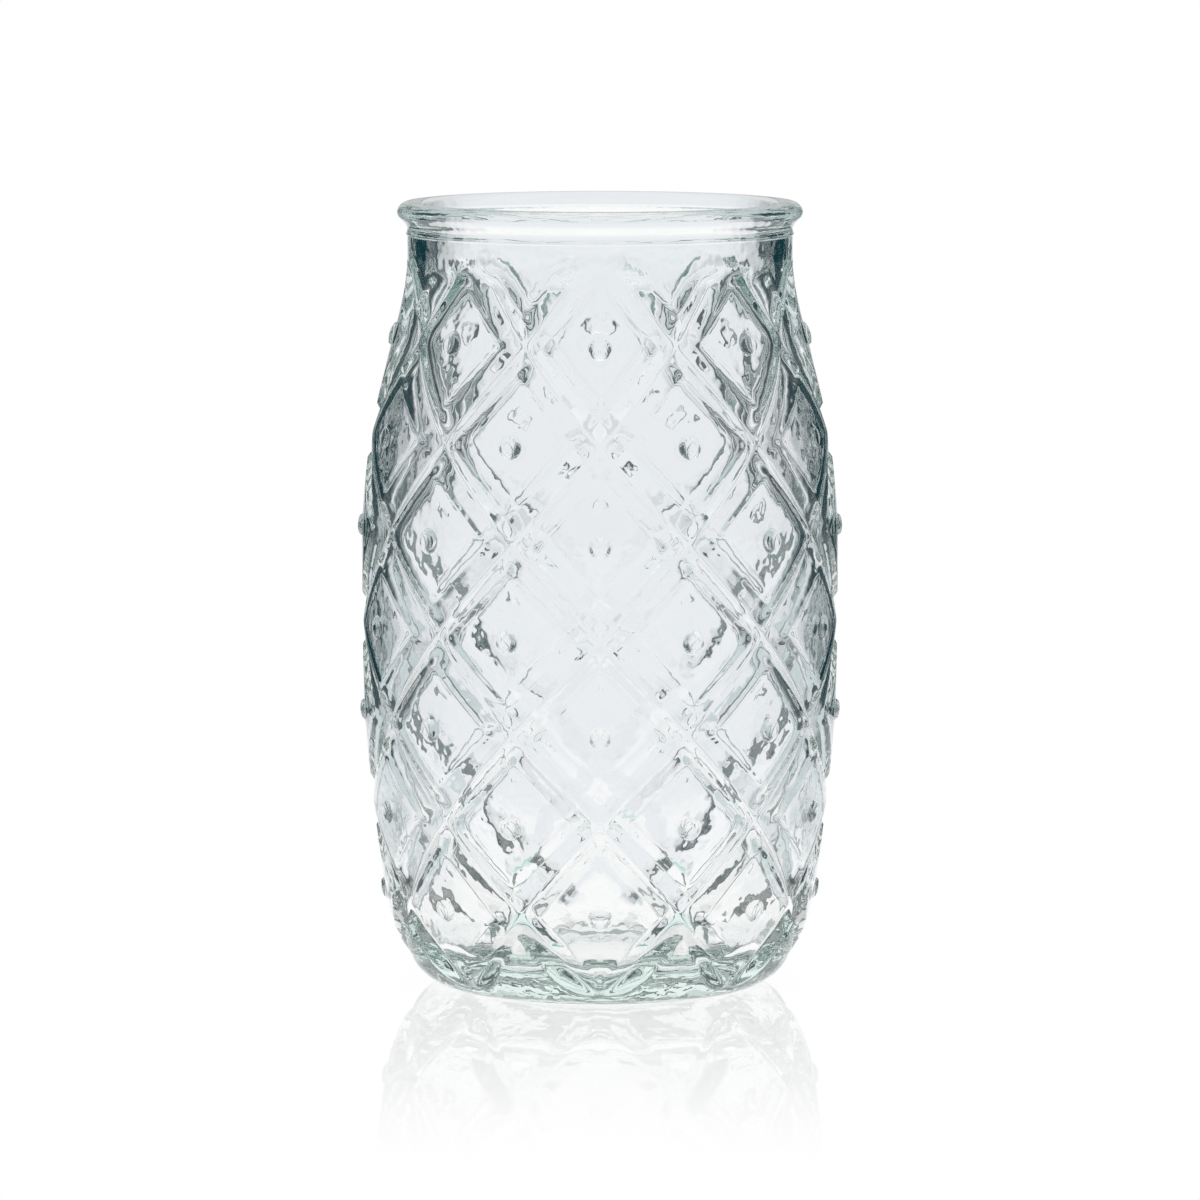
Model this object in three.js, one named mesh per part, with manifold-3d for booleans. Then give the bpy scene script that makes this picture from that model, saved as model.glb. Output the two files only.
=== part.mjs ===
// Pineapple tumbler: a one-piece moulded-glass drinking glass with a barrel body, a rolled lip,
// a plain neck and a lattice of raised diamond panels, each with a small nub at its centre.
// Millimetres, +Z up. The origin is the middle of the ring that the glass stands on, and -Y is the front.
//
// The glass is laid out in its moulded zones, from the lip down to the base. Each zone is a solid of its
// own that meets the next one on a flat ring at the same level, so the stack is the whole glass.
import * as THREE from 'three';
import { mergeVertices } from 'three/addons/utils/BufferGeometryUtils.js';
import Module from 'manifold-3d';

const wasm = await Module();
wasm.setup();

// Overall height and the rolled lip
const HEIGHT = 140;
const LIP_HEIGHT = 4.6;
const LIP_OVERHANG = 1.8;
const LIP_ROUND = 2;
const MOUTH_ROUND = 1.8;

// Plain neck with a fine parting ring
const NECK_HEIGHT = 6;
const NECK_RADIUS = 34.3;
const NECK_WALL = 3.3;
const PARTING_RING_DROP = 0.7;
const PARTING_RING_HEIGHT = 0.6;
const PARTING_RING_PROUD = 0.2;

// Barrel body, measured over the edges of the panels
const BELLY_LEVEL = 68;
const BELLY_RADIUS = 42.4;
const BODY_WALL = 3.1;
const SHOULDER_FULLNESS = 1.8;
const LOWER_BODY_FULLNESS = 2.2;

// Heel, base and the ring that the glass stands on
const HEEL_HEIGHT = 13;
const HEEL_RADIUS = 37.6;
const HEEL_CORNER_RADIUS = 33.6;
const BEARING_RADIUS = 26.5;
const BEARING_WIDTH = 3.5;
const PUSH_UP = 1.6;
const BASE_THICKNESS = 7;
const FLOOR_FILLET = 8;

// Diamond lattice: the grooves cross on rows that grow slightly shorter towards the base
const COLUMNS = 8;
const ROWS = 8;
const FIRST_ROW_DROP = 6;
const LAST_ROW_LEVEL = 1;
const ROW_TAPER = 0.057;
const GROOVE_DEPTH = 2;
const BEVEL_WIDTH = 3.3;
const PANEL_CROWN = 0.2;
const TOP_RUN_OUT = 3;
const BOTTOM_RUN_OUT = 8;
const NUB_RADIUS = 2;
const NUB_HEIGHT = 0.8;

// Rows of the lattice in each zone of the wall
const SHOULDER_ROWS = 1.5;
const UPPER_BODY_ROWS = 2;
const LOWER_BODY_ROWS = 2;

// Facets: steps across half a panel, along a row inside, along a round stretch and over a nub
const PANEL_STEPS = 4;
const INSIDE_STEPS = 1;
const ROUND_STEPS = 2;
const HEEL_STEPS = 5;
const NUB_SIDES = 6;
const NUB_RINGS = 4;
const SAME_POINT = 1e-4;

// Clear glass with a faint green-grey cast
const GLASS_COLOR = 0xdfe9e6;
const GLASS_OPACITY = 0.35;
const GLASS_ROUGHNESS = 0.04;

const LIP_RADIUS = NECK_RADIUS + LIP_OVERHANG;
const NECK_TOP = HEIGHT - LIP_HEIGHT;
const NECK_BOTTOM = NECK_TOP - NECK_HEIGHT;
const MOUTH_RADIUS = NECK_RADIUS - NECK_WALL;
const FIRST_ROW_LEVEL = HEIGHT - FIRST_ROW_DROP;
const LATTICE_HEIGHT = FIRST_ROW_LEVEL - LAST_ROW_LEVEL;
const HALF_COLUMN = Math.PI / COLUMNS;
const SEGMENTS = 2 * COLUMNS * PANEL_STEPS;

const { clamp, euclideanModulo, smoothstep } = THREE.MathUtils;

// Level of a row of crossings. A fraction gives the levels between two rows.
function rowLevel(row) {
  const share = row / ROWS;
  return FIRST_ROW_LEVEL - LATTICE_HEIGHT * share * (1 + ROW_TAPER * (1 - share));
}

// Row, as a fraction, at a level: the inverse of rowLevel.
function rowAt(level) {
  const drop = (FIRST_ROW_LEVEL - level) / LATTICE_HEIGHT;
  const grown = 1 + ROW_TAPER;
  return (2 * ROWS * drop) / (grown + Math.sqrt(grown * grown - 4 * ROW_TAPER * drop));
}

// Barrel between three radii: full under the neck, drawn in towards the heel.
function barrelRadius(level, neckRadius, bellyRadius, heelRadius) {
  if (level >= BELLY_LEVEL) {
    const rise = clamp((level - BELLY_LEVEL) / (NECK_BOTTOM - BELLY_LEVEL), 0, 1);
    return bellyRadius - (bellyRadius - neckRadius) * smoothstep(rise ** SHOULDER_FULLNESS, 0, 1);
  }
  const fall = Math.min((BELLY_LEVEL - level) / (BELLY_LEVEL - HEEL_HEIGHT), 1);
  return bellyRadius - (bellyRadius - heelRadius) * fall ** LOWER_BODY_FULLNESS;
}

// Outside of the glass before the lattice is moulded in. The heel is a parabola down to the bearing ring.
function outerRadius(level) {
  if (level >= HEEL_HEIGHT) {
    return barrelRadius(level, NECK_RADIUS, BELLY_RADIUS, HEEL_RADIUS);
  }
  const near = Math.sqrt(level / HEEL_HEIGHT);
  const far = 1 - near;
  return HEEL_RADIUS * near ** 2 + 2 * HEEL_CORNER_RADIUS * near * far + BEARING_RADIUS * far ** 2;
}

// Inside of the glass, with a fillet where the wall meets the floor.
function innerRadius(level) {
  const wall = barrelRadius(level, MOUTH_RADIUS, BELLY_RADIUS - BODY_WALL, HEEL_RADIUS - BODY_WALL);
  const below = clamp((BASE_THICKNESS + FLOOR_FILLET - level) / FLOOR_FILLET, 0, 1);
  return wall - FLOOR_FILLET * (1 - Math.sqrt(1 - below * below));
}

// Steps, of half a panel each, to the nearest groove that climbs to the right and to the left.
function grooveSteps(angle, level) {
  const column = angle / HALF_COLUMN;
  const row = rowAt(level);
  const toGroove = (place) => Math.abs(euclideanModulo(place + 1, 2) - 1);
  return { right: toGroove(column + row), left: toGroove(column - row) };
}

// Height of the moulded surface over the barrel: bevelled grooves between gently crowned panels.
function relief(angle, level) {
  const steps = grooveSteps(angle, level);
  const width = outerRadius(level) * HALF_COLUMN;
  const height = LATTICE_HEIGHT / ROWS;
  const halfPanel = (width * height) / Math.hypot(width, height);
  const distance = Math.min(steps.right, steps.left) * halfPanel;
  const bevel = (1 - Math.cos(Math.PI * Math.min(distance / BEVEL_WIDTH, 1))) / 2;
  const crown = PANEL_CROWN * smoothstep(distance, 0, halfPanel);
  const runOut = smoothstep(NECK_BOTTOM - level, 0, TOP_RUN_OUT) * smoothstep(level, 0, BOTTOM_RUN_OUT);
  return runOut * (crown - GROOVE_DEPTH * (1 - bevel));
}

// Turns a profile about the glass's axis, and presses the lattice into its points from first to last.
function turn(profile, first, last) {
  const geometry = new THREE.LatheGeometry(profile, SEGMENTS);
  const position = geometry.attributes.position;
  const index = [];
  for (let segment = 0; segment <= SEGMENTS; segment += 1) {
    const angle = (segment / SEGMENTS) * 2 * Math.PI;
    for (let point = first; point <= last; point += 1) {
      const { x, y: level } = profile[point];
      const radius = x + relief(angle, level);
      const vertex = segment * profile.length + point;
      position.setXYZ(vertex, radius * Math.sin(angle), level, radius * Math.cos(angle));
    }
  }
  // A facet is split along the groove that runs nearest to it, so that the grooves stay straight.
  for (let segment = 0; segment < SEGMENTS; segment += 1) {
    const angle = ((segment + 0.5) / SEGMENTS) * 2 * Math.PI;
    for (let point = 0; point < profile.length - 1; point += 1) {
      const near = segment * profile.length + point;
      const far = near + profile.length;
      const steps = grooveSteps(angle, (profile[point].y + profile[point + 1].y) / 2);
      if (point >= first && point < last && steps.right < steps.left) {
        index.push(near, far, far + 1, near, far + 1, near + 1);
      } else {
        index.push(near, far, near + 1, far + 1, near + 1, far);
      }
    }
  }
  geometry.setIndex(index);
  return geometry.rotateX(Math.PI / 2);
}

// Closes a plain profile on itself and turns it.
function turnPlain(points) {
  return turn([...points, points[0]], 0, -1);
}

// Levels from bottom to top, with the facet rows of the lattice between them.
function facetLevels(bottom, top, stepsPerRow) {
  const levels = [bottom];
  for (let step = ROWS * stepsPerRow; step >= 0; step -= 1) {
    const level = rowLevel(step / stepsPerRow);
    if (level > bottom && level < top) {
      levels.push(level);
    }
  }
  return [...levels, top];
}

// Levels down the inside of the wall, closer together round the fillet at the floor.
function insideLevels(bottom, top) {
  const filletTop = BASE_THICKNESS + FLOOR_FILLET;
  const rows = facetLevels(bottom, top, INSIDE_STEPS);
  const levels = rows.filter((level) => level === bottom || level > filletTop);
  for (let step = 0; step < ROUND_STEPS; step += 1) {
    const level = filletTop - FLOOR_FILLET * Math.sin(((step + 0.5) / ROUND_STEPS) * (Math.PI / 2));
    if (level > bottom && level < top) {
      levels.push(level);
    }
  }
  return levels.sort((a, b) => b - a);
}

// Joining needs closed solids: only the positions count, with the points along the seam merged.
function toSolid(geometry) {
  const bare = geometry.clone();
  bare.deleteAttribute('normal');
  bare.deleteAttribute('uv');
  const merged = mergeVertices(bare, SAME_POINT);
  const corners = [...merged.index.array];
  const triVerts = [];
  for (let corner = 0; corner < corners.length; corner += 3) {
    const [a, b, c] = corners.slice(corner, corner + 3);
    if (a !== b && b !== c && c !== a) {
      triVerts.push(a, b, c);
    }
  }
  const vertProperties = new Float32Array(merged.attributes.position.array);
  return new wasm.Manifold(new wasm.Mesh({ numProp: 3, vertProperties, triVerts: new Uint32Array(triVerts) }));
}

function toGeometry(solid) {
  const mesh = solid.getMesh();
  const geometry = new THREE.BufferGeometry();
  geometry.setAttribute('position', new THREE.BufferAttribute(mesh.vertProperties, 3));
  geometry.setIndex(new THREE.BufferAttribute(mesh.triVerts, 1));
  geometry.computeVertexNormals();
  return geometry;
}

// The nub in the middle of a panel: a low dome, square to the barrel.
function nub(angle, level) {
  const fall = outerRadius(level - NUB_RADIUS) - outerRadius(level + NUB_RADIUS);
  const outwards = new THREE.Vector3(Math.sin(angle), -Math.cos(angle), 0);
  const square = outwards.clone().setZ(fall / (2 * NUB_RADIUS)).normalize();
  const place = outwards.multiplyScalar(outerRadius(level) + relief(angle, level)).setZ(level);
  const dome = new THREE.SphereGeometry(1, NUB_SIDES, NUB_RINGS).scale(NUB_RADIUS, NUB_HEIGHT, NUB_RADIUS);
  dome.applyQuaternion(new THREE.Quaternion().setFromUnitVectors(new THREE.Vector3(0, 1, 0), square));
  return dome.translate(place.x, place.y, place.z);
}

// A ring of the patterned wall between two levels, with the nubs of the rows that lie in it.
function wall(bottom, top) {
  const outside = facetLevels(bottom, top, PANEL_STEPS).map((z) => new THREE.Vector2(outerRadius(z), z));
  const inside = insideLevels(bottom, top).map((z) => new THREE.Vector2(innerRadius(z), z));
  const profile = [...inside, ...outside, inside[0]];
  let solid = toSolid(turn(profile, inside.length, inside.length + outside.length - 1));
  for (let row = 1; row < ROWS; row += 1) {
    const level = rowLevel(row);
    for (let column = (row + 1) % 2; level > bottom && level < top && column < 2 * COLUMNS; column += 2) {
      solid = solid.add(toSolid(nub(column * HALF_COLUMN, level)));
    }
  }
  return toGeometry(solid);
}

// Rolled lip: a bead that overhangs the neck, rounded over the rim and into the mouth.
function lip() {
  const bead = HEIGHT - LIP_ROUND;
  const cove = (bead - NECK_TOP) / 2;
  const path = new THREE.Path();
  path.moveTo(NECK_RADIUS, NECK_TOP);
  path.bezierCurveTo(NECK_RADIUS, NECK_TOP + cove, LIP_RADIUS, bead - cove, LIP_RADIUS, bead);
  path.absarc(LIP_RADIUS - LIP_ROUND, bead, LIP_ROUND, 0, Math.PI / 2);
  path.lineTo(MOUTH_RADIUS + MOUTH_ROUND, HEIGHT);
  path.absarc(MOUTH_RADIUS + MOUTH_ROUND, HEIGHT - MOUTH_ROUND, MOUTH_ROUND, Math.PI / 2, Math.PI);
  path.lineTo(MOUTH_RADIUS, NECK_TOP);
  return turnPlain(path.getPoints(ROUND_STEPS));
}

// Plain neck, with the fine ring that the mould's parting leaves just under the lip.
function neck() {
  const ringTop = NECK_TOP - PARTING_RING_DROP;
  const ringBottom = ringTop - PARTING_RING_HEIGHT;
  return turnPlain([
    new THREE.Vector2(NECK_RADIUS, NECK_BOTTOM),
    new THREE.Vector2(NECK_RADIUS, ringBottom),
    new THREE.Vector2(NECK_RADIUS + PARTING_RING_PROUD, (ringBottom + ringTop) / 2),
    new THREE.Vector2(NECK_RADIUS, ringTop),
    new THREE.Vector2(NECK_RADIUS, NECK_TOP),
    new THREE.Vector2(MOUTH_RADIUS, NECK_TOP),
    new THREE.Vector2(MOUTH_RADIUS, NECK_BOTTOM),
  ]);
}

// Thick base: a shallow push-up under it, the flat bearing ring, the rounded heel and the floor on top.
function base() {
  const pushUpRadius = BEARING_RADIUS - BEARING_WIDTH;
  const profile = [];
  for (let step = 0; step <= ROUND_STEPS; step += 1) {
    const share = step / ROUND_STEPS;
    profile.push(new THREE.Vector2(pushUpRadius * share, PUSH_UP * (1 - share * share)));
  }
  const first = profile.length;
  for (let step = 0; step <= HEEL_STEPS; step += 1) {
    const level = BASE_THICKNESS * (step / HEEL_STEPS) ** 2;
    profile.push(new THREE.Vector2(outerRadius(level), level));
  }
  const last = profile.length - 1;
  profile.push(new THREE.Vector2(0, BASE_THICKNESS));
  return toGeometry(toSolid(turn(profile, first, last)));
}

function zone(name, geometry) {
  const material = new THREE.MeshStandardMaterial({
    color: GLASS_COLOR,
    roughness: GLASS_ROUGHNESS,
    metalness: 0,
    transparent: true,
    opacity: GLASS_OPACITY,
  });
  const mesh = new THREE.Mesh(geometry, material);
  mesh.name = name;
  return mesh;
}

// Levels where the zones of the wall meet
const SHOULDER_BOTTOM = rowLevel(SHOULDER_ROWS);
const UPPER_BODY_BOTTOM = rowLevel(SHOULDER_ROWS + UPPER_BODY_ROWS);
const LOWER_BODY_BOTTOM = rowLevel(SHOULDER_ROWS + UPPER_BODY_ROWS + LOWER_BODY_ROWS);

const glass = new THREE.Group();
glass.add(zone('lip', lip()));
glass.add(zone('neck', neck()));
glass.add(zone('shoulder', wall(SHOULDER_BOTTOM, NECK_BOTTOM)));
glass.add(zone('upper_body', wall(UPPER_BODY_BOTTOM, SHOULDER_BOTTOM)));
glass.add(zone('lower_body', wall(LOWER_BODY_BOTTOM, UPPER_BODY_BOTTOM)));
glass.add(zone('heel', wall(BASE_THICKNESS, LOWER_BODY_BOTTOM)));
glass.add(zone('base', base()));

export default glass;
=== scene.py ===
# %% [markdown]
# # A moulded-glass pineapple tumbler
#
# The real object is one piece of clear soda-lime glass, blown out against a mould. The mould gives the
# outside a lattice of raised diamonds, the inside follows it more softly, and the rim is a rolled lip.
#
# Glass shows every surface at once, front and back, outside and inside. So the whole tumbler is modelled
# as a single closed skin, with a real wall between its two sides. Light then bends through it as it does
# through the real one.

import math

import bmesh
import bpy
from mathutils import Matrix, Vector, noise


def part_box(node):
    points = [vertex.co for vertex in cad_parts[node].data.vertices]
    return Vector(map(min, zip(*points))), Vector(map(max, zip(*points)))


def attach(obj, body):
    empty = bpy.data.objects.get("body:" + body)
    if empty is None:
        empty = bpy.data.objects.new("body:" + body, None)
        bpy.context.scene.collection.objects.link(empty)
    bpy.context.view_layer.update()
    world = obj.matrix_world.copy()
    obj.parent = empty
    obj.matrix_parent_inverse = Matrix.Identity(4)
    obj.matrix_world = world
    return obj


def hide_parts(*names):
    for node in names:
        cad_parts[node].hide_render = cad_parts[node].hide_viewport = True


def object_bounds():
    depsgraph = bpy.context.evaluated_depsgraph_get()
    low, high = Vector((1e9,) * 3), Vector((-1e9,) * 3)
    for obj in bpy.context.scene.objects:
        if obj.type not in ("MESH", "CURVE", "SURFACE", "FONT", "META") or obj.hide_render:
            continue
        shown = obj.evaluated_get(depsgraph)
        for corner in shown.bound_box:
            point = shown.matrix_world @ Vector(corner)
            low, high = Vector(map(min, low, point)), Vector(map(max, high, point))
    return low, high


MM = 0.001

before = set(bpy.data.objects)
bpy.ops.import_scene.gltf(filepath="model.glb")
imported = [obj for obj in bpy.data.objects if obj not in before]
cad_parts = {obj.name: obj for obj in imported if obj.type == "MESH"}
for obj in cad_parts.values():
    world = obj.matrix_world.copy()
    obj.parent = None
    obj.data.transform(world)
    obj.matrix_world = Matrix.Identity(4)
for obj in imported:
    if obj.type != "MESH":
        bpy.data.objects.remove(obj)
cad_low, cad_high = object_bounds()
print("CAD box, mm:", [round(side / MM, 2) for side in cad_high - cad_low])

# %% [markdown]
# ## The camera
#
# A long lens looks slightly down at the glass, so that the far side of the rim just shows above the near
# side. The distance and the tilt come from how much the rim and the foot open into ellipses. The lens is
# given for a sensor 36 mm wide, and the picture is square.

# %% Camera
CAMERA_DISTANCE = 1.3187
CAMERA_LEVEL = 0.2140
CAMERA_TILT = math.radians(6.287)
LENS = 222.6
SENSOR = 36.0

camera_data = bpy.data.cameras.new("camera")
camera_data.sensor_width = SENSOR
camera_data.lens = LENS
camera = bpy.data.objects.new("camera", camera_data)
camera.location = (0, -CAMERA_DISTANCE, CAMERA_LEVEL)
camera.rotation_euler = (math.pi / 2 - CAMERA_TILT, 0, 0)
bpy.context.scene.collection.objects.link(camera)
bpy.context.scene.camera = camera
print("camera", round(CAMERA_DISTANCE, 3), "m in front of the axis, lens", LENS, "mm")

# %% [markdown]
# ## Sizes of the glass
#
# What the frame can tell is read from it: the height, the lip, the neck and the floor of the glass. The
# barrel's own sizes are written here once, in metres, as a glass designer would give them: the widest
# radius and its level, how full the shoulder is, and how the heel turns in to the ring it stands on.

# %% Sizes
PARTING_PROUD = 0.2 * MM
HEIGHT = cad_high.z
NECK_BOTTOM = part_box("neck")[0].z
NECK_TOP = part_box("neck")[1].z
NECK_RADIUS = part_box("neck")[1].x - PARTING_PROUD
LIP_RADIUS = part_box("lip")[1].x
FLOOR_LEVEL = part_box("base")[1].z

NECK_WALL = 3.3 * MM
MOUTH_RADIUS = NECK_RADIUS - NECK_WALL
BELLY_LEVEL = 68 * MM
BELLY_RADIUS = 42.4 * MM
BODY_WALL = 1.7 * MM
SHOULDER_FULLNESS = 1.8
LOWER_BODY_FULLNESS = 2.2
HEEL_HEIGHT = 13 * MM
HEEL_RADIUS = 37.6 * MM
HEEL_CORNER_RADIUS = 33.6 * MM
BEARING_RADIUS = 26.5 * MM
BEARING_WIDTH = 3.5 * MM
PUSH_UP = 1.6 * MM
FLOOR_FILLET = 8 * MM
print("height", round(HEIGHT / MM, 1), "neck", round(NECK_RADIUS / MM, 1), "lip", round(LIP_RADIUS / MM, 1))


# %% Barrel profile
def clamp01(share):
    return min(max(share, 0), 1)


def smooth(share):
    share = clamp01(share)
    return share * share * (3 - 2 * share)


def barrel_radius(level, neck, belly, heel):
    """Radius of a barrel that is full under the neck and drawn in towards the heel."""
    if level >= BELLY_LEVEL:
        rise = clamp01((level - BELLY_LEVEL) / (NECK_BOTTOM - BELLY_LEVEL))
        return belly - (belly - neck) * smooth(rise**SHOULDER_FULLNESS)
    fall = min((BELLY_LEVEL - level) / (BELLY_LEVEL - HEEL_HEIGHT), 1)
    return belly - (belly - heel) * fall**LOWER_BODY_FULLNESS


def outer_radius(level):
    """Outside of the glass over the panels. The heel is a parabola down to the bearing ring."""
    if level >= HEEL_HEIGHT:
        return barrel_radius(level, NECK_RADIUS, BELLY_RADIUS, HEEL_RADIUS)
    near = math.sqrt(max(level, 0) / HEEL_HEIGHT)
    far = 1 - near
    return HEEL_RADIUS * near**2 + 2 * HEEL_CORNER_RADIUS * near * far + BEARING_RADIUS * far**2


def inner_radius(level):
    """Inside of the glass, with a fillet where the wall meets the floor."""
    wall = barrel_radius(level, MOUTH_RADIUS, BELLY_RADIUS - BODY_WALL, HEEL_RADIUS - BODY_WALL)
    below = clamp01((FLOOR_LEVEL + FLOOR_FILLET - level) / FLOOR_FILLET)
    return wall - FLOOR_FILLET * (1 - math.sqrt(1 - below * below))


print("outside at the belly, mm:", round(outer_radius(BELLY_LEVEL) / MM, 2))

# %% [markdown]
# ## The lattice, laid out flat
#
# Eight columns and eight rows of diamonds cover the glass. Unrolled, the lattice is a flat sheet on which
# one unit is half a column across and one row down. A plain grid makes one diamond: its lines are bunched
# up where the groove, its bevel and the nub in the middle need them, it is turned by 45 degrees, and then
# it is copied over the sheet. Drawing the grid along the grooves keeps every groove and crest perfectly
# straight, which a grid of rings and columns would saw into steps.

# %% Lines across a panel
COLUMNS = 8
ROWS = 8
FIRST_ROW_DROP = 6 * MM
LAST_ROW_LEVEL = 1 * MM
ROW_TAPER = 0.057
FIRST_ROW_LEVEL = HEIGHT - FIRST_ROW_DROP
LATTICE_HEIGHT = FIRST_ROW_LEVEL - LAST_ROW_LEVEL
HALF_COLUMN = math.pi / COLUMNS
GROOVE_DEPTH = 2.0 * MM
BEVEL_WIDTH = 3.3 * MM
PANEL_CROWN = 0.2 * MM
NUB_RADIUS = 2.0 * MM
NUB_HEIGHT = 0.79 * MM


def half_panel(level):
    """Distance from the middle of a panel to its groove, square to the groove."""
    width = outer_radius(level) * HALF_COLUMN
    height = LATTICE_HEIGHT / ROWS
    return width * height / math.hypot(width, height)


NUB_LINES = (0, 0.5, 0.8, 1, 1.15)
FACE_LINES = (1.8, 2.6, 3.4)
BEVEL_LINES = (1.2, 1, 0.86, 0.72, 0.58, 0.43, 0.29, 0.14, 0)
PANEL_REACH = half_panel(BELLY_LEVEL)
NUB_SHARE = NUB_RADIUS / PANEL_REACH
PANEL_LINES = [share * NUB_SHARE for share in NUB_LINES + FACE_LINES]
PANEL_LINES += [1 - share * BEVEL_WIDTH / PANEL_REACH for share in BEVEL_LINES]
print("lines across half a panel:", [round(line, 3) for line in PANEL_LINES])


# %% Flat lattice
SAME_PLACE = 1e-4


def verts_of(geom):
    return [part for part in geom if isinstance(part, bmesh.types.BMVert)]


def flat_panel(bm, lines):
    """A square grid of one panel, with its even lines moved to the given ones, turned onto its corner."""
    steps = len(lines) - 1
    grid = bmesh.ops.create_grid(bm, x_segments=2 * steps, y_segments=2 * steps, size=1)
    for vert in grid["verts"]:
        vert.co.xy = [math.copysign(lines[round(abs(place) * steps)], place) for place in vert.co.xy]
    bmesh.ops.rotate(bm, verts=grid["verts"], cent=(0, 0, 0), matrix=Matrix.Rotation(math.pi / 4, 3, "Z"))
    bmesh.ops.scale(bm, verts=grid["verts"], vec=(math.sqrt(0.5), math.sqrt(0.5), 1))


def flat_lattice(lines, last_row):
    """Panels all over the sheet, cut off straight at the first row and at the last one."""
    bm = bmesh.new()
    flat_panel(bm, lines)
    panel = bm.verts[:] + bm.edges[:] + bm.faces[:]
    for row in range(ROWS + 1):
        for column in range((row + 1) % 2, 2 * COLUMNS, 2):
            copy = bmesh.ops.duplicate(bm, geom=panel)["geom"]
            bmesh.ops.translate(bm, verts=verts_of(copy), vec=(column, row, 0))
    bmesh.ops.delete(bm, geom=verts_of(panel), context="VERTS")
    bmesh.ops.remove_doubles(bm, verts=bm.verts, dist=SAME_PLACE)
    for row, outwards in ((0, -1), (last_row, 1)):
        sheet = bm.verts[:] + bm.edges[:] + bm.faces[:]
        bmesh.ops.bisect_plane(bm, geom=sheet, dist=SAME_PLACE, plane_co=(0, row, 0),
                               plane_no=(0, outwards, 0), clear_outer=True)
    return bm


glass_bm = flat_lattice(PANEL_LINES, ROWS)
print("flat lattice:", len(glass_bm.faces), "faces")

# %% [markdown]
# ## Wrapping and moulding the lattice
#
# Each point of the flat sheet now goes to its place on the barrel. Across the sheet turns into an angle
# about the axis, and down the sheet into a level, with rows that grow slightly shorter towards the base.
# The moulded relief moves the point in or out: bevelled grooves, gently crowned faces, and a low round
# nub in the middle of every whole panel. The relief runs out to nothing under the neck and at the foot.
#
# The lines round the middle of a panel form squares. Under the nub they are drawn into circles first, so
# that its edge is round with few faces.

# %% Relief
TOP_RUN_OUT = 3 * MM
BOTTOM_RUN_OUT = 8 * MM
BEVEL_EASE = 0.12
ROUND_REACH = 0.45


def row_level(row):
    """Level of a row of the lattice. Row 0 is at the top."""
    share = row / ROWS
    return FIRST_ROW_LEVEL - LATTICE_HEIGHT * share * (1 + ROW_TAPER * (1 - share))


def panel_centre(column, row):
    """Column and row of the middle of the panel that a point lies on."""
    right = 2 * math.floor((column + row) / 2) + 1
    left = 2 * math.floor((column - row) / 2) + 1
    return (right + left) / 2, (right - left) / 2


def bevel_rise(share):
    """Rise along a bevel: a straight slope, eased into the groove's floor and into the crest."""
    ends = 2 * BEVEL_EASE * (1 - BEVEL_EASE)
    if share < BEVEL_EASE:
        return share**2 / ends
    if share < 1 - BEVEL_EASE:
        return (share - BEVEL_EASE / 2) / (1 - BEVEL_EASE)
    return 1 - (1 - min(share, 1)) ** 2 / ends


def groove_distances(column, row, level):
    """Distances of a point to the nearest groove of each of the two directions."""
    reach = half_panel(level)
    return [reach * abs((place + 1) % 2 - 1) for place in (column + row, column - row)]


def relief(column, row, level):
    """How far the grooves and the crown of a panel move a point out from the barrel."""
    first, second = groove_distances(column, row, level)
    crown = PANEL_CROWN * smooth(min(first, second) / half_panel(level))
    rise = bevel_rise(first / BEVEL_WIDTH) * bevel_rise(second / BEVEL_WIDTH)
    run_out = smooth((NECK_BOTTOM - level) / TOP_RUN_OUT) * smooth(level / BOTTOM_RUN_OUT)
    return run_out * (crown - GROOVE_DEPTH * (1 - rise))


def rounded(across, down, level):
    """Draws the square lines round the middle of a panel into circles, less and less further out."""
    ring = abs(across) + abs(down)
    if ring == 0 or ring > ROUND_REACH:
        return across, down
    row_height = LATTICE_HEIGHT / ROWS
    reach = math.hypot(across * outer_radius(level) * HALF_COLUMN, down * row_height)
    share = smooth((ROUND_REACH - ring) / (ROUND_REACH - NUB_SHARE * NUB_LINES[-1]))
    stretch = 1 + share * (ring * PANEL_REACH / reach - 1)
    return across * stretch, down * stretch


# %% Wrap
SAME_POINT = 0.001 * MM


def nub_rise(across, down, level):
    """Height of the round nub, at a place given from the middle of its panel."""
    row_height = LATTICE_HEIGHT / ROWS
    reach = math.hypot(across * outer_radius(level) * HALF_COLUMN, down * row_height) / NUB_RADIUS
    return NUB_HEIGHT * math.sqrt(max(1 - reach**2, 0))


def on_axis(angle, radius, level):
    """A point of the glass. Angle 0 faces the front, and angles grow towards +X."""
    return Vector((radius * math.sin(angle), -radius * math.cos(angle), level))


def wrapped(column, row):
    """Place on the outside of the glass for a point of the flat sheet."""
    middle_column, middle_row = panel_centre(column, row)
    across, down = column - middle_column, row - middle_row
    rise = 0
    if 0 < middle_row < ROWS:
        middle_level = row_level(middle_row)
        across, down = rounded(across, down, middle_level)
        rise = nub_rise(across, down, middle_level)
    column, row = middle_column + across, middle_row + down
    level = row_level(row)
    radius = outer_radius(level) + relief(column, row, level) + rise
    return on_axis(column * HALF_COLUMN, radius, level)


for vert in glass_bm.verts:
    vert.co = wrapped(vert.co.x, vert.co.y)
bmesh.ops.remove_doubles(glass_bm, verts=glass_bm.verts, dist=SAME_POINT)
print("wrapped lattice:", len(glass_bm.verts), "points, open edges:",
      sum(edge.is_boundary for edge in glass_bm.edges))

# %% [markdown]
# ## Neck, lip and inside
#
# The sheet ends in two open rings, one in the neck and one at the foot. The round parts are drawn out of
# such rings, ring by ring, as on a lathe. The first ring goes up the neck with its fine parting ring, round
# the rolled lip, and over the rim into the mouth.

# %% Drawing rings
ROUND_STEPS = 6


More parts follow.
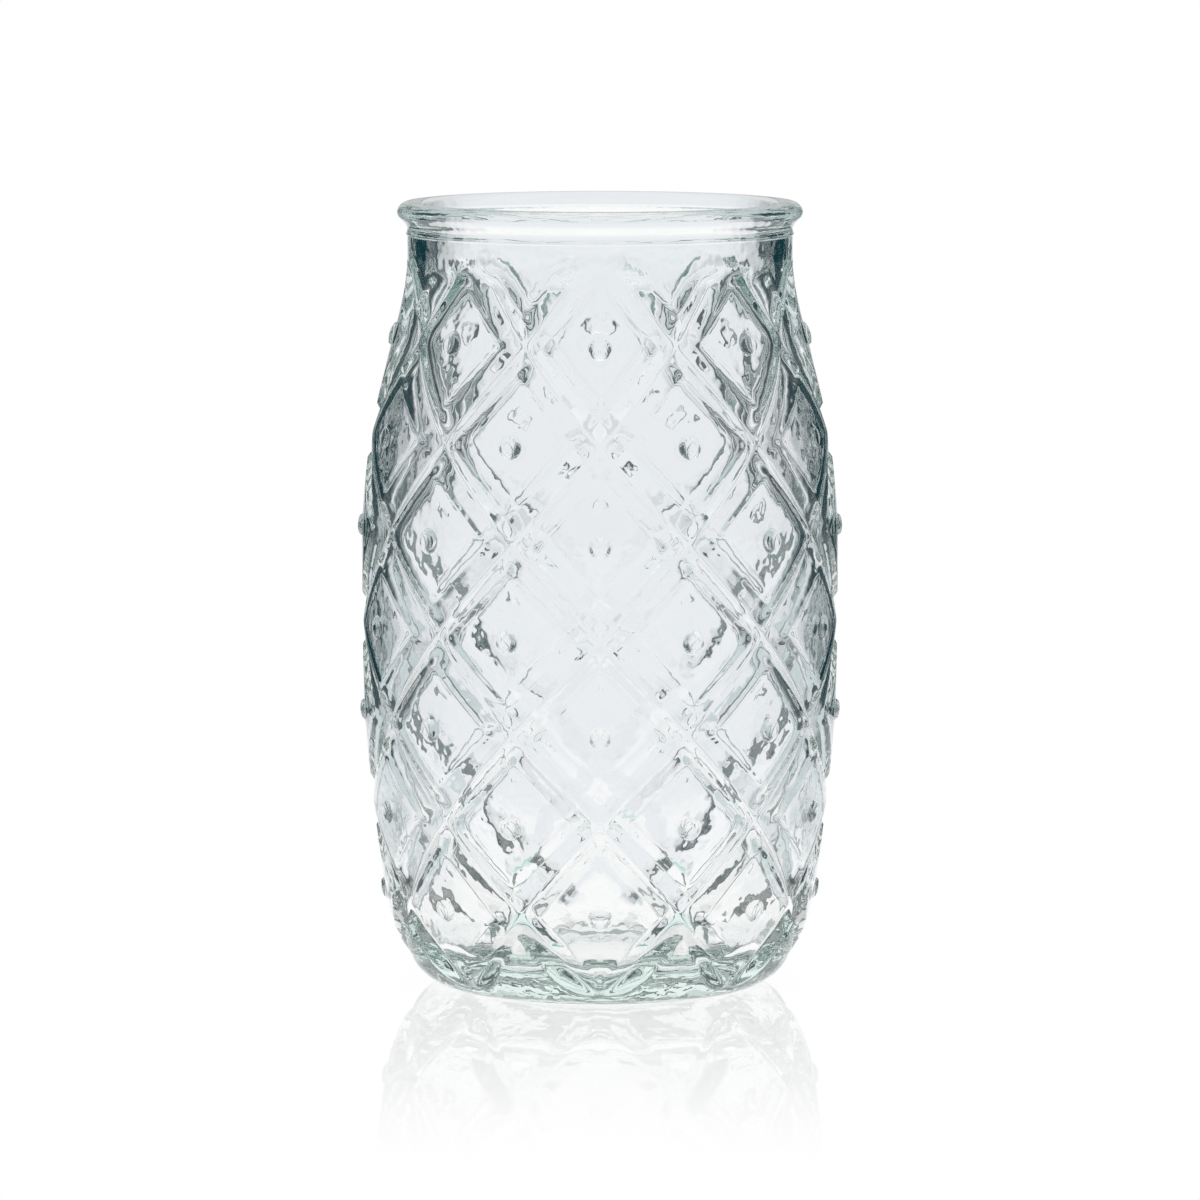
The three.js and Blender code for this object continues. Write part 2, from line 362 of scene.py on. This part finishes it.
def open_rings(bm, low, high):
    """The open edges between two levels."""
    return [edge for edge in bm.edges if edge.is_boundary and low < edge.verts[0].co.z < high]


def draw_ring(bm, ring, radius, level):
    """Draws the open ring out to a new radius and level, and gives back the new open ring."""
    drawn = bmesh.ops.extrude_edge_only(bm, edges=ring)["geom"]
    for vert in verts_of(drawn):
        vert.co = on_axis(math.atan2(vert.co.x, -vert.co.y), radius, level)
    return [part for part in drawn if isinstance(part, bmesh.types.BMEdge) and part.is_boundary]


def draw_through(bm, ring, profile):
    """Draws the open ring on through each radius and level of a profile."""
    for radius, level in profile:
        ring = draw_ring(bm, ring, radius, level)
    return ring


def arc(centre, radius, start, end, steps=ROUND_STEPS):
    """Points along an arc after its first one, as (radius, level). Angles are in degrees."""
    turns = [math.radians(start + (end - start) * step / steps) for step in range(1, steps + 1)]
    return [(centre[0] + radius * math.cos(turn), centre[1] + radius * math.sin(turn)) for turn in turns]


# %% Neck and lip
PARTING_DROP = 0.7 * MM
PARTING_HEIGHT = 0.6 * MM
PARTING_STEPS = 4
LIP_ROUND = 2 * MM
MOUTH_ROUND = 1.8 * MM


def parting_ring():
    """A fine half-round ring just under the lip."""
    bottom = NECK_TOP - PARTING_DROP - PARTING_HEIGHT
    profile = []
    for step in range(PARTING_STEPS + 1):
        share = step / PARTING_STEPS
        proud = PARTING_PROUD * math.sin(math.pi * share)
        profile.append((NECK_RADIUS + proud, bottom + PARTING_HEIGHT * share))
    return profile


def cove():
    """The curve from the neck out to the side of the lip."""
    bead = HEIGHT - LIP_ROUND
    profile = []
    for step in range(ROUND_STEPS + 1):
        share = step / ROUND_STEPS
        profile.append((NECK_RADIUS + (LIP_RADIUS - NECK_RADIUS) * smooth(share),
                        NECK_TOP + (bead - NECK_TOP) * share))
    return profile


ring = open_rings(glass_bm, BELLY_LEVEL, HEIGHT)
ring = draw_through(glass_bm, ring, parting_ring() + cove())
ring = draw_through(glass_bm, ring, arc((LIP_RADIUS - LIP_ROUND, HEIGHT - LIP_ROUND), LIP_ROUND, 0, 90))
ring = draw_ring(glass_bm, ring, MOUTH_RADIUS + MOUTH_ROUND, HEIGHT)
mouth_corner = (MOUTH_RADIUS + MOUTH_ROUND, HEIGHT - MOUTH_ROUND)
ring = draw_through(glass_bm, ring, arc(mouth_corner, MOUTH_ROUND, 90, 180))
ring = draw_ring(glass_bm, ring, MOUTH_RADIUS, NECK_TOP)
print("ring in the mouth:", len(ring), "edges")

# %% [markdown]
# ## The inside
#
# The air that blows the glass out presses it evenly, so the wall keeps much the same thickness: behind
# every groove the inside swells, and behind every panel it is hollow. The edges come out far rounder than
# on the mould side. Looked at square on, such a wall bends light very little, while at the sides of the
# glass every slope turns dark. The hot inside is never quite true either. It is faintly wavy all over,
# and that draws the far side as squiggles.
#
# The inside is a second sheet, laid out and wrapped like the first one, with fewer lines.

# %% Inside sheet
FOLLOW_DEPTH = 1.4 * MM
FOLLOW_WIDTH = 4.8 * MM
WAVE = 0.12 * MM
WAVE_LENGTH = 9 * MM
INSIDE_FACE = (0, 0.25, 0.45)
INSIDE_SLOPE = (1.15, 0.85, 0.62, 0.4, 0.2, 0)
INSIDE_LINES = list(INSIDE_FACE) + [1 - share * FOLLOW_WIDTH / PANEL_REACH for share in INSIDE_SLOPE]


def row_at(level):
    """Row of the lattice at a level: row_level the other way round."""
    fall = (FIRST_ROW_LEVEL - level) / LATTICE_HEIGHT
    full = 1 + ROW_TAPER
    return ROWS * (full - math.sqrt(full**2 - 4 * ROW_TAPER * fall)) / (2 * ROW_TAPER)


def inside_relief(column, row, level):
    """How far the inside follows the grooves, with wider and rounder slopes."""
    first, second = groove_distances(column, row, level)
    rise = smooth(first / FOLLOW_WIDTH) * smooth(second / FOLLOW_WIDTH)
    return -FOLLOW_DEPTH * (1 - rise)


def inside_wrapped(column, row):
    """Place on the inside of the glass for a point of the flat sheet."""
    level = row_level(row)
    place = on_axis(column * HALF_COLUMN, inner_radius(level), level)
    moved = inside_relief(column, row, level) + WAVE * noise.noise(place / WAVE_LENGTH)
    moved *= smooth((NECK_BOTTOM - level) / TOP_RUN_OUT)
    moved *= smooth((level - FLOOR_LEVEL - FLOOR_FILLET) / BOTTOM_RUN_OUT)
    return on_axis(column * HALF_COLUMN, inner_radius(level) + moved, level)


inside_bm = flat_lattice(INSIDE_LINES, row_at(FLOOR_LEVEL + FLOOR_FILLET))
for vert in inside_bm.verts:
    vert.co = inside_wrapped(vert.co.x, vert.co.y)
bmesh.ops.remove_doubles(inside_bm, verts=inside_bm.verts, dist=SAME_POINT)
inside_mesh = bpy.data.meshes.new("inside")
inside_bm.to_mesh(inside_mesh)
inside_bm.free()
glass_bm.from_mesh(inside_mesh)
bpy.data.meshes.remove(inside_mesh)
bmesh.ops.bridge_loops(glass_bm, edges=open_rings(glass_bm, BELLY_LEVEL, HEIGHT))
print("open edges left:", sum(edge.is_boundary for edge in glass_bm.edges))

# %% Floor of the inside
FLOOR_DISH = 0.4 * MM
FLOOR_RINGS = (0.75, 0.5, 0.25, 0.06)


def inside_fillet():
    """The quarter round from the wall to the floor."""
    turns = [math.pi / 2 * step / ROUND_STEPS for step in range(1, ROUND_STEPS + 1)]
    levels = [FLOOR_LEVEL + FLOOR_FILLET * (1 - math.sin(turn)) for turn in turns]
    return [(inner_radius(level), level) for level in levels]


def close_ring(bm, ring, level):
    """Brings a small open ring together in one point on the axis."""
    verts = list({vert for edge in ring for vert in edge.verts})
    bmesh.ops.pointmerge(bm, verts=verts, merge_co=(0, 0, level))


ring = open_rings(glass_bm, FLOOR_LEVEL, BELLY_LEVEL)
ring = draw_through(glass_bm, ring, inside_fillet())
floor_radius = inner_radius(FLOOR_LEVEL)
for share in FLOOR_RINGS:
    ring = draw_ring(glass_bm, ring, floor_radius * share, FLOOR_LEVEL - FLOOR_DISH * (1 - share**2))
close_ring(glass_bm, ring, FLOOR_LEVEL - FLOOR_DISH)
print("floor radius, mm:", round(floor_radius / MM, 1))

# %% [markdown]
# ## Heel and foot
#
# Below the last row the heel rolls under to a narrow flat ring, the only part that touches the table.
# Inside that ring the bottom is pushed up a little, so that the glass can't rock.

# %% Heel and foot
HEEL_STEPS = 3
PUSH_UP_STEPS = 5


def heel_turn():
    """The last of the heel, from the end of the lattice to the bearing ring."""
    levels = [LAST_ROW_LEVEL * (1 - step / HEEL_STEPS) ** 2 for step in range(1, HEEL_STEPS + 1)]
    return [(outer_radius(level), level) for level in levels]


def push_up():
    """The hollow under the glass, from the bearing ring almost to the axis."""
    radius = BEARING_RADIUS - BEARING_WIDTH
    shares = [1 - step / PUSH_UP_STEPS for step in range(PUSH_UP_STEPS)] + [FLOOR_RINGS[-1]]
    return [(radius * share, PUSH_UP * (1 - share**2)) for share in shares]


ring = open_rings(glass_bm, 0, FLOOR_LEVEL)
ring = draw_through(glass_bm, ring, heel_turn() + push_up())
close_ring(glass_bm, ring, PUSH_UP)
bmesh.ops.recalc_face_normals(glass_bm, faces=glass_bm.faces)
print("open edges left:", sum(edge.is_boundary for edge in glass_bm.edges))
print("glass volume, ml:", round(glass_bm.calc_volume() * 1e6, 1))

# %% The finished glass
SHARP_ANGLE = math.radians(50)


def piece_from(bm, name):
    mesh = bpy.data.meshes.new(name)
    bm.to_mesh(mesh)
    bm.free()
    piece = bpy.data.objects.new(name, mesh)
    bpy.context.scene.collection.objects.link(piece)
    return piece


glass = piece_from(glass_bm, "moulded_tumbler")
glass.data.shade_smooth()
glass.data.set_sharp_from_angle(angle=SHARP_ANGLE)
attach(glass, "root")
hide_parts("lip", "neck", "shoulder", "upper_body", "lower_body", "heel", "base")
glass.data.calc_loop_triangles()
print("moulded tumbler:", len(glass.data.loop_triangles), "triangles")

# %% [markdown]
# ## Clear glass
#
# Soda-lime glass bends light with an index of about 1.52. A thin wall looks colourless, while a long way
# through the wall turns grey-green, so the tint is an absorption inside the glass and not a colour on
# its skin. Moulding leaves a faint ripple, which is a bump far too shallow to model.

# %% Glass material
WHITE = (1, 1, 1, 1)
GLASS_INDEX = 1.52
GLASS_TINT = (0.70, 0.90, 0.84, 1)
GLASS_DENSITY = 11.0
RIPPLE_SCALE = 380
RIPPLE_DETAIL = 1
RIPPLE_STRENGTH = 0.06


def new_material(name):
    material = bpy.data.materials.new(name)
    material.use_nodes = True
    material.node_tree.nodes.clear()
    return material, material.node_tree


def clear_glass():
    material, tree = new_material("clear_moulded_glass")
    output = tree.nodes.new("ShaderNodeOutputMaterial")
    shader = tree.nodes.new("ShaderNodeBsdfPrincipled")
    shader.inputs["Base Color"].default_value = WHITE
    shader.inputs["Transmission Weight"].default_value = 1
    shader.inputs["IOR"].default_value = GLASS_INDEX
    shader.inputs["Roughness"].default_value = 0
    tint = tree.nodes.new("ShaderNodeVolumeAbsorption")
    tint.inputs["Color"].default_value = GLASS_TINT
    tint.inputs["Density"].default_value = GLASS_DENSITY
    place = tree.nodes.new("ShaderNodeTexCoord")
    ripple = tree.nodes.new("ShaderNodeTexNoise")
    ripple.inputs["Scale"].default_value = RIPPLE_SCALE
    ripple.inputs["Detail"].default_value = RIPPLE_DETAIL
    bump = tree.nodes.new("ShaderNodeBump")
    bump.inputs["Strength"].default_value = RIPPLE_STRENGTH
    bump.inputs["Distance"].default_value = MM
    tree.links.new(place.outputs["Object"], ripple.inputs["Vector"])
    tree.links.new(ripple.outputs["Fac"], bump.inputs["Height"])
    tree.links.new(bump.outputs["Normal"], shader.inputs["Normal"])
    tree.links.new(shader.outputs["BSDF"], output.inputs["Surface"])
    tree.links.new(tint.outputs["Volume"], output.inputs["Volume"])
    return material


glass.data.materials.append(clear_glass())
print("glass index", GLASS_INDEX)

# %% [markdown]
# ## Small tools for nodes
#
# The table, the white field behind the glass and the dark flags beside it all mix numbers, colours and
# shaders, by where a point lies or by how light came to it. Each of these functions adds one such step.

# %% Mixing
# A Mix node has one factor, and two inputs and an output for each kind of value.
NUMBER_INPUTS = (0, 2, 3)
NUMBER_OUTPUT = 0
COLOR_INPUTS = (0, 6, 7)
COLOR_OUTPUT = 2


def put(tree, socket, value):
    """Sets an input to a plain value, or links it to the output of another node."""
    if isinstance(value, bpy.types.NodeSocket):
        tree.links.new(value, socket)
    else:
        socket.default_value = value


def calculated(tree, operation, *values):
    """One step of arithmetic, such as a sum or a comparison."""
    node = tree.nodes.new("ShaderNodeMath")
    node.operation = operation
    for socket, value in zip(node.inputs, values):
        put(tree, socket, value)
    return node.outputs["Value"]


def between(tree, share, first, second):
    """The first number at a share of 0, the second one at 1."""
    node = tree.nodes.new("ShaderNodeMix")
    for place, value in zip(NUMBER_INPUTS, (share, first, second)):
        put(tree, node.inputs[place], value)
    return node.outputs[NUMBER_OUTPUT]


def coloured(tree, share, first, second):
    """The first colour at a share of 0, the second one at 1."""
    node = tree.nodes.new("ShaderNodeMix")
    node.data_type = "RGBA"
    for place, value in zip(COLOR_INPUTS, (share, first, second)):
        put(tree, node.inputs[place], value)
    return node.outputs[COLOR_OUTPUT]


def shaded(tree, share, first, second):
    """The first shader at a share of 0, the second one at 1."""
    node = tree.nodes.new("ShaderNodeMixShader")
    for socket, value in zip(node.inputs, (share, first.outputs[0], second.outputs[0])):
        put(tree, socket, value)
    return node


def ramp(tree, value, start, end):
    """0 at start and 1 at end, smooth between them and flat beyond."""
    node = tree.nodes.new("ShaderNodeMapRange")
    node.interpolation_type = "SMOOTHSTEP"
    for name, number in (("Value", value), ("From Min", start), ("From Max", end)):
        put(tree, node.inputs[name], number)
    return node.outputs["Result"]


print("mixing tools ready")


# %% Places and rays
def axes_of(tree, kind):
    """X, Y and Z of the point that is shaded, in coordinates of the given kind."""
    place = tree.nodes.new("ShaderNodeTexCoord")
    axes = tree.nodes.new("ShaderNodeSeparateXYZ")
    tree.links.new(place.outputs[kind], axes.inputs["Vector"])
    return axes.outputs


def axis_distance(tree):
    """Distance of a point of the table from the middle of the glass."""
    place = tree.nodes.new("ShaderNodeTexCoord")
    length = tree.nodes.new("ShaderNodeVectorMath")
    length.operation = "LENGTH"
    tree.links.new(place.outputs["Object"], length.inputs[0])
    return length.outputs["Value"]


def side_angle(tree, axes):
    """Angle about the axis, from straight behind the glass round to either side."""
    side = calculated(tree, "ABSOLUTE", axes["X"])
    return calculated(tree, "ARCTAN2", side, axes["Y"])


def ray_kinds(tree):
    """What is known of the light that meets a point: where it came from and how often it was turned."""
    return tree.nodes.new("ShaderNodeLightPath").outputs


def seen_ray(tree, ray):
    """1 for rays that come from the camera, a reflection or a refraction, and 0 for plain light."""
    bent = calculated(tree, "MAXIMUM", ray["Is Glossy Ray"], ray["Is Transmission Ray"])
    return calculated(tree, "MAXIMUM", ray["Is Camera Ray"], bent)


print("place and ray tools ready")

# %% [markdown]
# ## Light that is thrown about
#
# Light that goes plainly through the glass meets four surfaces: outside and inside of the near wall, inside
# and outside of the far one. In the bevels, the lip and the foot it may be turned many times more. For such
# light the field and the table are painted darker, step by step with more turns. This painted shade stands
# in for surroundings darker than the white field.

# %% Turned light
PLAIN_TURNS = 4
HALF_A_TURN = 0.5
SHADE_TURNS = (5, 12)


def turned_strength(tree, ray, turn_shade, surfaces):
    """Painted shade: 1 for plain light, less for light that took more turns and went through more than some
    surfaces.
    """
    through = calculated(tree, "GREATER_THAN", ray["Transmission Depth"], surfaces)
    turns = calculated(tree, "MULTIPLY", ray["Ray Depth"], through)
    return between(tree, ramp(tree, turns, *SHADE_TURNS), 1, 1 - turn_shade)


print("light dims from", SHADE_TURNS[0], "to", SHADE_TURNS[1], "turns")

# %% [markdown]
# ## Floor
#
# A glossy white table carries the glass. It mirrors the foot softly, less and less further out, and it
# keeps the thin shadow where the glass stands. Away from the glass it is plain white, the same white as
# the light behind it, so no edge shows. For light bent through the glass the table has painted shade: it
# is painted greyer further out and darker to the sides, and it dims for light that took many turns.
# Light that went through two surfaces or fewer is spared that dimming, which keeps the foot bright.

# %% Floor
FLOOR_RADIUS = 2.5
FLOOR_SIDES = 96
FLOOR_GAP = 0.05 * MM
FLOOR_WHITE = (0.98, 0.98, 0.98, 1)
BENT_FIELD_SHADE = (0.848, 0.869, 0.893, 1)
FIELD_FADE = (0.02, 0.30)
PAINTED_SIDE_SHADE = (0.56, 0.64, 0.66, 1)
SIDE_RISE = (math.radians(17), math.radians(22))
SIDE_FADE = (0.06, 0.20)
FLOOR_TURN_SHADE = 0.25
FOOT_SURFACES = 2
GLOSS_INDEX = 1.5
GLOSS_ROUGHNESS = 0.012
GLOSS_SHARE = 0.65
GLOSS_FADE = (0.19, 0.03)
SHADOW_SHARE = 0.04
SHADOW_FADE = (0.045, 0.028)


def table_white(tree, ray, away):
    """The table's white for the camera, with painted shade for bent light: greyer far out, darker aside,
    dimmer after many turns.
    """
    white = tree.nodes.new("ShaderNodeEmission")
    bent = ray["Is Transmission Ray"]
    # Painted shade: bent light sees the table greyer further from the glass.
    far = calculated(tree, "MULTIPLY", ramp(tree, away, *FIELD_FADE), bent)
    # Painted shade: bent light sees the table darker to the sides.
    side_shade = ramp(tree, side_angle(tree, axes_of(tree, "Object")), *SIDE_RISE)
    side_shade = calculated(tree, "MULTIPLY", side_shade, ramp(tree, away, *SIDE_FADE))
    side_shade = calculated(tree, "MULTIPLY", side_shade, bent)
    field = coloured(tree, far, WHITE, BENT_FIELD_SHADE)
    put(tree, white.inputs["Color"], coloured(tree, side_shade, field, PAINTED_SIDE_SHADE))
    # Painted shade: the table dims for light that took many turns through more than two surfaces.
    put(tree, white.inputs["Strength"], turned_strength(tree, ray, FLOOR_TURN_SHADE, FOOT_SURFACES))
    return white


def floor_material():
    material, tree = new_material("white_table")
    output = tree.nodes.new("ShaderNodeOutputMaterial")
    ray = ray_kinds(tree)
    away = axis_distance(tree)
    lit = tree.nodes.new("ShaderNodeBsdfDiffuse")
    lit.inputs["Color"].default_value = FLOOR_WHITE
    mirror = tree.nodes.new("ShaderNodeBsdfGlossy")
    mirror.inputs["Color"].default_value = WHITE
    mirror.inputs["Roughness"].default_value = GLOSS_ROUGHNESS
    fresnel = tree.nodes.new("ShaderNodeFresnel")
    fresnel.inputs["IOR"].default_value = GLOSS_INDEX
    shadow = calculated(tree, "MULTIPLY", ramp(tree, away, *SHADOW_FADE), SHADOW_SHARE)
    plain = shaded(tree, shadow, table_white(tree, ray, away), lit)
    seen = shaded(tree, seen_ray(tree, ray), lit, plain)
    gloss = calculated(tree, "MULTIPLY", ramp(tree, away, *GLOSS_FADE), fresnel.outputs["Fac"])
    gloss = calculated(tree, "MULTIPLY", gloss, GLOSS_SHARE)
    tree.links.new(shaded(tree, gloss, seen, mirror).outputs["Shader"], output.inputs["Surface"])
    return material


floor_bm = bmesh.new()
bmesh.ops.create_circle(floor_bm, cap_ends=True, segments=FLOOR_SIDES, radius=FLOOR_RADIUS)
bmesh.ops.translate(floor_bm, verts=floor_bm.verts, vec=(0, 0, -FLOOR_GAP))
floor = piece_from(floor_bm, "table")
floor.data.materials.append(floor_material())
print("floor radius, m:", FLOOR_RADIUS)

# %% [markdown]
# ## The white field
#
# Clear glass is photographed against a white field that shines straight through it. The field is all that
# the camera sees behind the glass. Elsewhere it carries painted shade: for mirror reflections in the skin
# of the glass it is painted at half strength, in place of dimmer surroundings in front of it. For light
# bent low through the glass it is painted greyer, and it dims for light that took many turns.

# %% White field
WORLD_LIGHT = 1.0
FIELD_RISE = (0.4, 0.1)
FIELD_TURN_SHADE = 0.75
MIRRORED_SHADE_LEVEL = 0.5


def white_field():
    world = bpy.data.worlds.new("white_field")
    world.use_nodes = True
    tree = world.node_tree
    tree.nodes.clear()
    output = tree.nodes.new("ShaderNodeOutputWorld")
    soft = tree.nodes.new("ShaderNodeBackground")
    soft.inputs["Color"].default_value = WHITE
    soft.inputs["Strength"].default_value = WORLD_LIGHT
    white = tree.nodes.new("ShaderNodeBackground")
    ray = ray_kinds(tree)
    # Painted shade: light bent through the glass that heads low sees a greyer field.
    low = ramp(tree, axes_of(tree, "Generated")["Z"], *FIELD_RISE)
    bent = calculated(tree, "MULTIPLY", low, ray["Is Transmission Ray"])
    put(tree, white.inputs["Color"], coloured(tree, bent, WHITE, BENT_FIELD_SHADE))
    # Painted shade: mirror reflections see the field at half strength.
    mirrored = calculated(tree, "MULTIPLY", ray["Is Reflection Ray"], ray["Is Singular Ray"])
    mirror_shade = between(tree, mirrored, 1, MIRRORED_SHADE_LEVEL)
    # Painted shade: the field dims for light that took many turns.
    turned = turned_strength(tree, ray, FIELD_TURN_SHADE, 0)
    put(tree, white.inputs["Strength"], calculated(tree, "MULTIPLY", turned, mirror_shade))
    shown = shaded(tree, seen_ray(tree, ray), soft, white)
    tree.links.new(shown.outputs["Shader"], output.inputs["Surface"])
    return world


bpy.context.scene.world = white_field()
print("world:", bpy.context.scene.world.name)

# %% [markdown]
# ## Flags
#
# Two dark flags outside the picture draw the outlines. They are painted shade: tall curved cards that
# emit a dark teal, which the camera doesn't see and which light nothing and cast no shadow, one to each
# side of the field. Wherever the glass bends light far to the side, or mirrors it at a flat angle, it shows
# a flag. The edge towards the field is soft first and then sharp, so gentle slopes turn grey and steep ones
# dark.
#
# For light that goes plainly through both walls the flags are narrower, and it also passes under them, just
# above the table. So the glass stays clear when it is looked at from another side. The table's own mirror
# doesn't show the flags.

# %% Flags
FLAG_DISTANCE = 0.35
FLAG_HEIGHT = 0.46
FLAG_FROM = math.radians(9)
FLAG_TO = math.radians(86)
FLAG_STEPS = 24
FLAG_COLOR = (0.006, 0.036, 0.044, 1)
EDGE_RISE = (math.radians(9), math.radians(17))
EDGE_SHARE = 0.25
FLAG_RISE = (math.radians(17), math.radians(22))
FLAG_FALL = (math.radians(85), math.radians(60))
PLAIN_FALL = (math.radians(48), math.radians(30))
FLAG_TOP = (0.45, 0.35)
FLAG_BOTTOM = (0.02, 0.06)


def flag_material():
    """Painted shade: a dark teal glow, clear towards its edges."""
    material, tree = new_material("dark_flag")
    output = tree.nodes.new("ShaderNodeOutputMaterial")
    painted_dark = tree.nodes.new("ShaderNodeEmission")
    painted_dark.inputs["Color"].default_value = FLAG_COLOR
    clear = tree.nodes.new("ShaderNodeBsdfTransparent")
    ray = ray_kinds(tree)
    axes = axes_of(tree, "Object")
    angle = side_angle(tree, axes)
    edge = calculated(tree, "MULTIPLY", ramp(tree, angle, *EDGE_RISE), EDGE_SHARE)
    start = between(tree, ramp(tree, angle, *FLAG_RISE), edge, 1)
    plain = calculated(tree, "COMPARE", ray["Ray Depth"], PLAIN_TURNS, HALF_A_TURN)
    end = between(tree, plain, ramp(tree, angle, *FLAG_FALL), ramp(tree, angle, *PLAIN_FALL))
    top = ramp(tree, axes["Z"], *FLAG_TOP)
    bottom = between(tree, plain, 1, ramp(tree, axes["Z"], *FLAG_BOTTOM))
    cover = ray["Is Singular Ray"]
    for share in (start, end, top, bottom):
        cover = calculated(tree, "MULTIPLY", cover, share)
    tree.links.new(shaded(tree, cover, clear, painted_dark).outputs["Shader"], output.inputs["Surface"])
    return material


def flag(name, side):
    """A tall curved card behind the glass, to one side of the white field."""
    bm = bmesh.new()
    low, high = (bm.verts.new((0, FLAG_DISTANCE, level)) for level in (0, FLAG_HEIGHT))
    edge = bm.edges.new((low, high))
    turn = Matrix.Rotation(-side * FLAG_FROM, 3, "Z")
    bmesh.ops.rotate(bm, verts=[low, high], cent=(0, 0, 0), matrix=turn)
    bmesh.ops.spin(bm, geom=[low, high, edge], cent=(0, 0, 0), axis=(0, 0, 1),
                   angle=-side * (FLAG_TO - FLAG_FROM), steps=FLAG_STEPS)
    card = piece_from(bm, name)
    card.data.materials.append(flag_material())
    # Painted shade: the flags show only in reflections and refractions of the glass.
    card.visible_camera = False
    card.visible_diffuse = False
    card.visible_shadow = False
    return card


flags = [flag("flag_right", 1), flag("flag_left", -1)]
print("flags:", len(flags))

# %% [markdown]
# ## Light inside the glass
#
# In the thick foot light is thrown from side to side many times before it gets out. Blender follows only a
# few such turns unless it is told otherwise, and shows the rest as black. So it may follow more here.

# %% Bounces and colour
LIGHT_TURNS = 32

paths = bpy.context.scene.cycles
paths.max_bounces = LIGHT_TURNS
paths.glossy_bounces = LIGHT_TURNS
paths.transmission_bounces = LIGHT_TURNS
paths.transparent_max_bounces = LIGHT_TURNS
bpy.context.scene.view_settings.view_transform = "Standard"
print("light turns followed:", LIGHT_TURNS)
